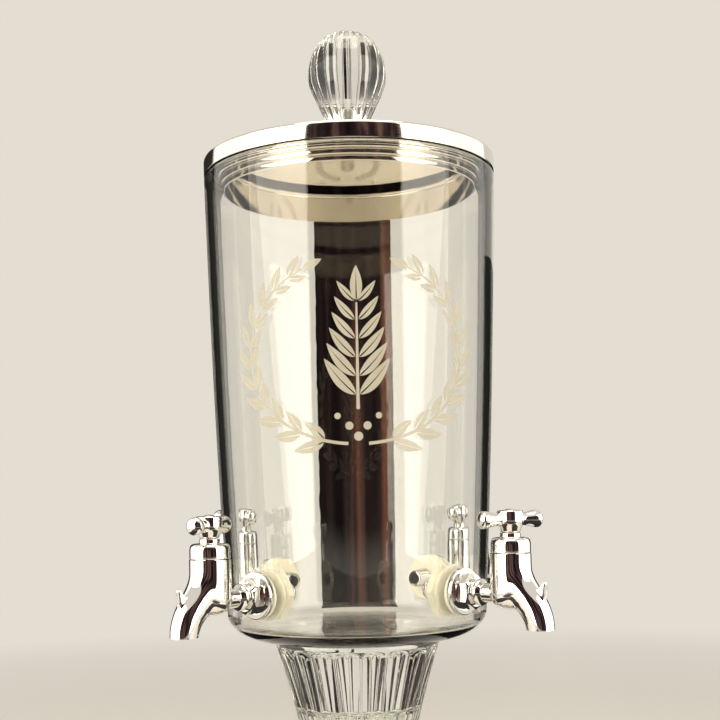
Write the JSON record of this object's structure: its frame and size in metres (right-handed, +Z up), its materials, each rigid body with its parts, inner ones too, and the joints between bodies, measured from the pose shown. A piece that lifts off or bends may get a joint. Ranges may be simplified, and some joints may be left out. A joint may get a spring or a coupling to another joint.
{
  "type": "absinthe fountain",
  "caption": "Glass absinthe fountain: lidded clear bowl on a fluted glass pedestal, with screw-down taps round its foot that drip iced water into glasses.",
  "frame": {"origin": "centre of the pedestal's base, on the table", "axes": "+Z up along the bowl's axis; -Y to the front, between the two front taps; +X to the right seen from there"},
  "size_m": [0.1738, 0.1738, 0.464],
  "materials": {
    "clear_glass": "clear, polished",
    "pressed_glass": "pressed, fire polished",
    "lid_metal": "spun and polished",
    "chrome": "bright chrome plate",
    "steel": "plain",
    "brass": "machined",
    "nylon": "natural, translucent",
    "rubber": "moulded"
  },
  "bodies": {
    "root": {"pedestal": "pressed_glass", "bowl": "clear_glass", "front_left_tap_body": "chrome", "front_left_tap_bonnet": "chrome", "front_left_tap_outer_gasket": "nylon", "front_left_tap_inner_gasket": "nylon", "front_left_tap_back_nut": "nylon", "front_right_tap_body": "chrome", "front_right_tap_bonnet": "chrome", "front_right_tap_outer_gasket": "nylon", "front_right_tap_inner_gasket": "nylon", "front_right_tap_back_nut": "nylon", "rear_left_tap_body": "chrome", "rear_left_tap_bonnet": "chrome", "rear_left_tap_outer_gasket": "nylon", "rear_left_tap_inner_gasket": "nylon", "rear_left_tap_back_nut": "nylon", "rear_right_tap_body": "chrome", "rear_right_tap_bonnet": "chrome", "rear_right_tap_outer_gasket": "nylon", "rear_right_tap_inner_gasket": "nylon", "rear_right_tap_back_nut": "nylon"},
    "lid": {"lid": "lid_metal", "lid_skirt": "lid_metal", "knob": "pressed_glass", "knob_stud": "steel", "knob_washer": "steel", "knob_nut": "steel"},
    "front_left_jumper": {"front_left_tap_jumper": "brass", "front_left_tap_seat_washer": "rubber"},
    "front_left_handle": {"front_left_tap_handle": "chrome", "front_left_tap_handle_screw": "chrome", "front_left_tap_spindle": "brass", "front_left_tap_spindle_ring": "rubber"},
    "front_right_jumper": {"front_right_tap_jumper": "brass", "front_right_tap_seat_washer": "rubber"},
    "front_right_handle": {"front_right_tap_handle": "chrome", "front_right_tap_handle_screw": "chrome", "front_right_tap_spindle": "brass", "front_right_tap_spindle_ring": "rubber"},
    "rear_left_jumper": {"rear_left_tap_jumper": "brass", "rear_left_tap_seat_washer": "rubber"},
    "rear_left_handle": {"rear_left_tap_handle": "chrome", "rear_left_tap_handle_screw": "chrome", "rear_left_tap_spindle": "brass", "rear_left_tap_spindle_ring": "rubber"},
    "rear_right_jumper": {"rear_right_tap_jumper": "brass", "rear_right_tap_seat_washer": "rubber"},
    "rear_right_handle": {"rear_right_tap_handle": "chrome", "rear_right_tap_handle_screw": "chrome", "rear_right_tap_spindle": "brass", "rear_right_tap_spindle_ring": "rubber"}
  },
  "joints": [
    {"name": "lid_lift", "type": "slide", "parent": "root", "child": "lid", "axis": [0, 0, 1], "range_m": [0, 0.08]},
    {"name": "front_left_valve_lift", "type": "slide", "parent": "root", "child": "front_left_jumper", "axis": [0, 0, 1], "range_m": [0, 0.00156]},
    {"name": "front_left_handle_turn", "type": "hinge", "parent": "front_left_jumper", "child": "front_left_handle", "pos_m": [-0.06956, -0.06956, 0.197], "axis": [0, 0, 1], "range_deg": [0, 450]},
    {"name": "front_right_valve_lift", "type": "slide", "parent": "root", "child": "front_right_jumper", "axis": [0, 0, 1], "range_m": [0, 0.00156]},
    {"name": "front_right_handle_turn", "type": "hinge", "parent": "front_right_jumper", "child": "front_right_handle", "pos_m": [0.06956, -0.06956, 0.197], "axis": [0, 0, 1], "range_deg": [0, 450]},
    {"name": "rear_left_valve_lift", "type": "slide", "parent": "root", "child": "rear_left_jumper", "axis": [0, 0, 1], "range_m": [0, 0.00156]},
    {"name": "rear_left_handle_turn", "type": "hinge", "parent": "rear_left_jumper", "child": "rear_left_handle", "pos_m": [-0.06956, 0.06956, 0.197], "axis": [0, 0, 1], "range_deg": [0, 450]},
    {"name": "rear_right_valve_lift", "type": "slide", "parent": "root", "child": "rear_right_jumper", "axis": [0, 0, 1], "range_m": [0, 0.00156]},
    {"name": "rear_right_handle_turn", "type": "hinge", "parent": "rear_right_jumper", "child": "rear_right_handle", "pos_m": [0.06956, 0.06956, 0.197], "axis": [0, 0, 1], "range_deg": [0, 450]}
  ],
  "couplings": [
    {"joint": "front_left_handle_turn", "follows": "front_left_valve_lift", "rad_per_m": 5026.5},
    {"joint": "front_right_handle_turn", "follows": "front_right_valve_lift", "rad_per_m": 5026.5},
    {"joint": "rear_left_handle_turn", "follows": "rear_left_valve_lift", "rad_per_m": 5026.5},
    {"joint": "rear_right_handle_turn", "follows": "rear_right_valve_lift", "rad_per_m": 5026.5}
  ]
}
